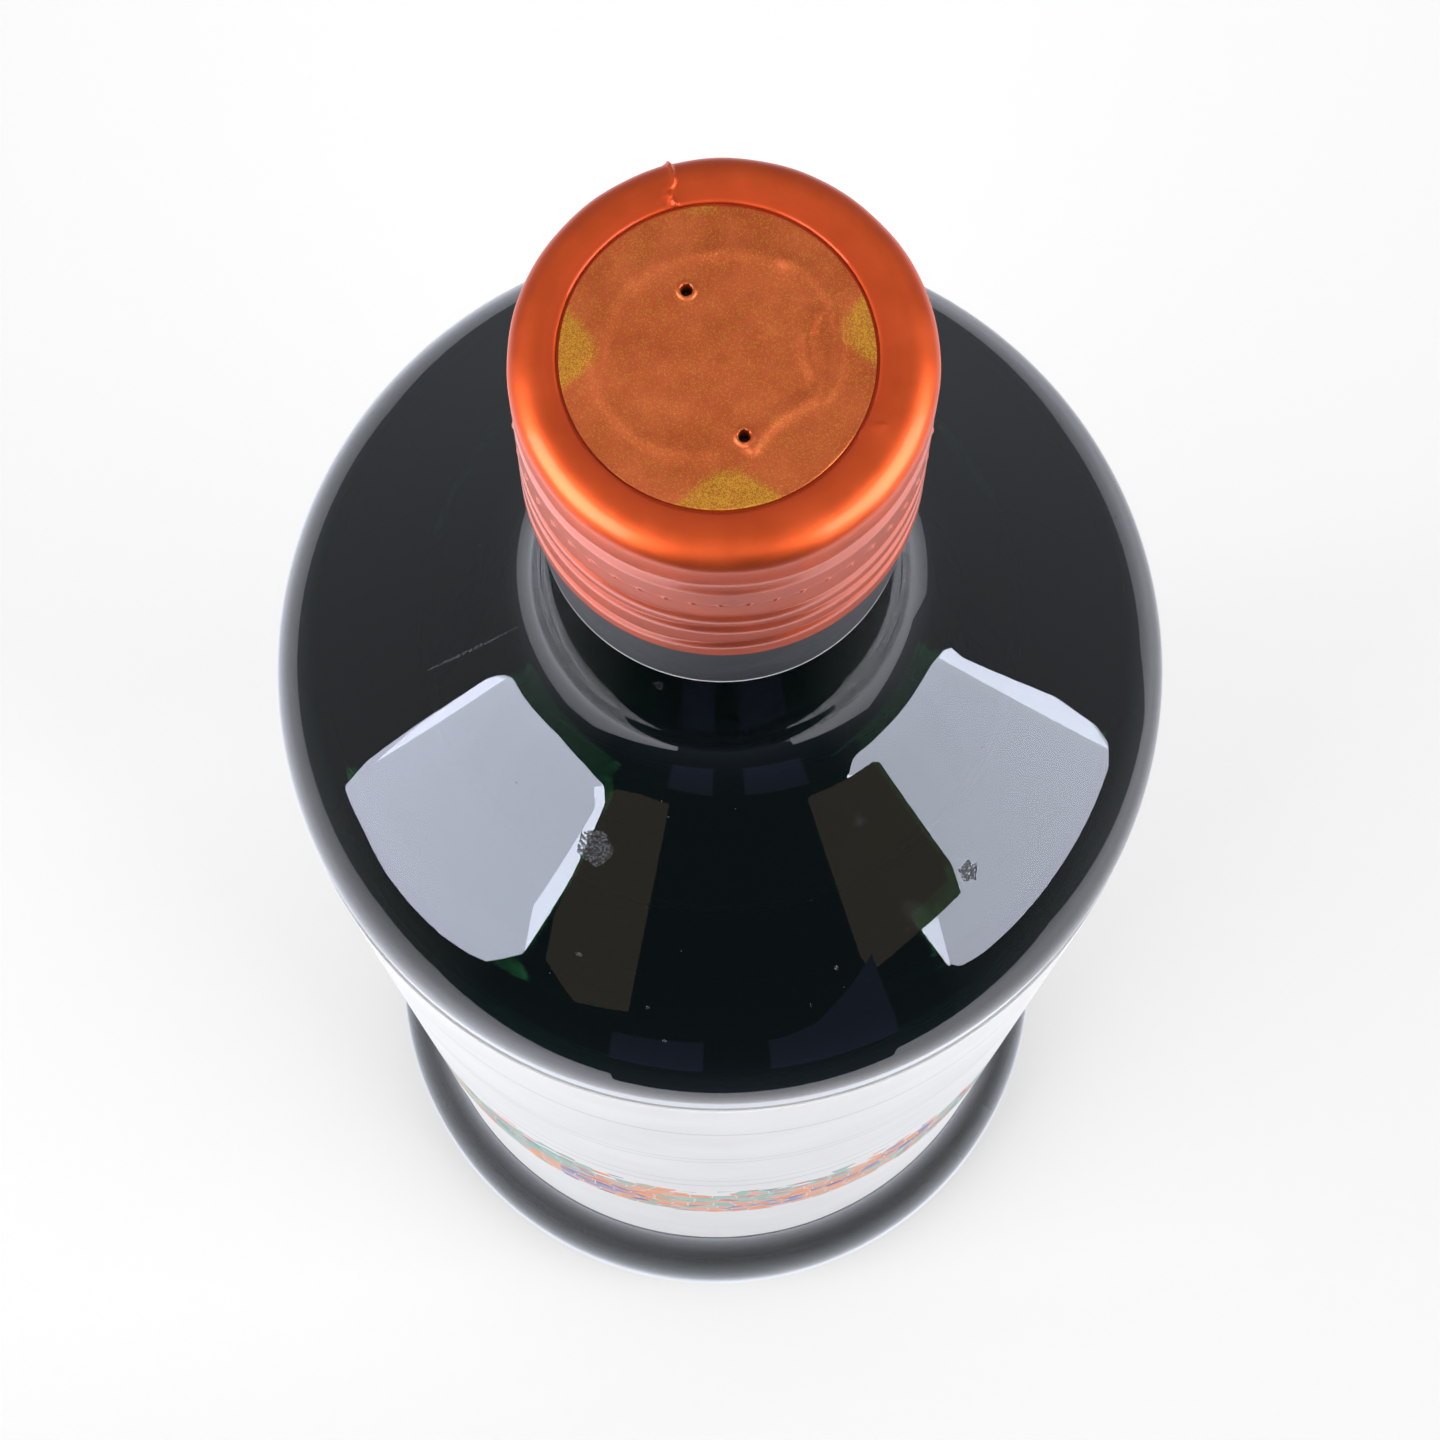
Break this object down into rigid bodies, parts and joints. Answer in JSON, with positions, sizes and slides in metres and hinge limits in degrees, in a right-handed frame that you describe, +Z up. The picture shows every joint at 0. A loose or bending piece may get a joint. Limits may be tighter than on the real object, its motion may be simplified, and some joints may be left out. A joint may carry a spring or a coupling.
{
  "type": "bottle of whisky",
  "caption": "Sealed dark glass bottle with tapered body, filled with whisky, with a wrapped paper label and a copper capsule over the neck.",
  "frame": {"origin": "centre of the base, on the surface the bottle stands on", "axes": "+Z up along the bottle's axis, -Y towards the middle of the label, +X to the right seen from the label's side"},
  "size_m": [0.0838, 0.0838, 0.2688],
  "materials": {
    "dark_glass": "smooth, very dark green",
    "whisky": "clear amber drink",
    "label_paper": "matte white with a printed colour band",
    "copper_film": "satin copper film with a dark lower border",
    "copper_disc": "copper with fine gold glitter"
  },
  "bodies": {
    "root": {"glass_bottle": "dark_glass", "whisky": "whisky", "label": "label_paper", "capsule": "copper_film", "capsule_disc": "copper_disc"}
  },
  "joints": []
}
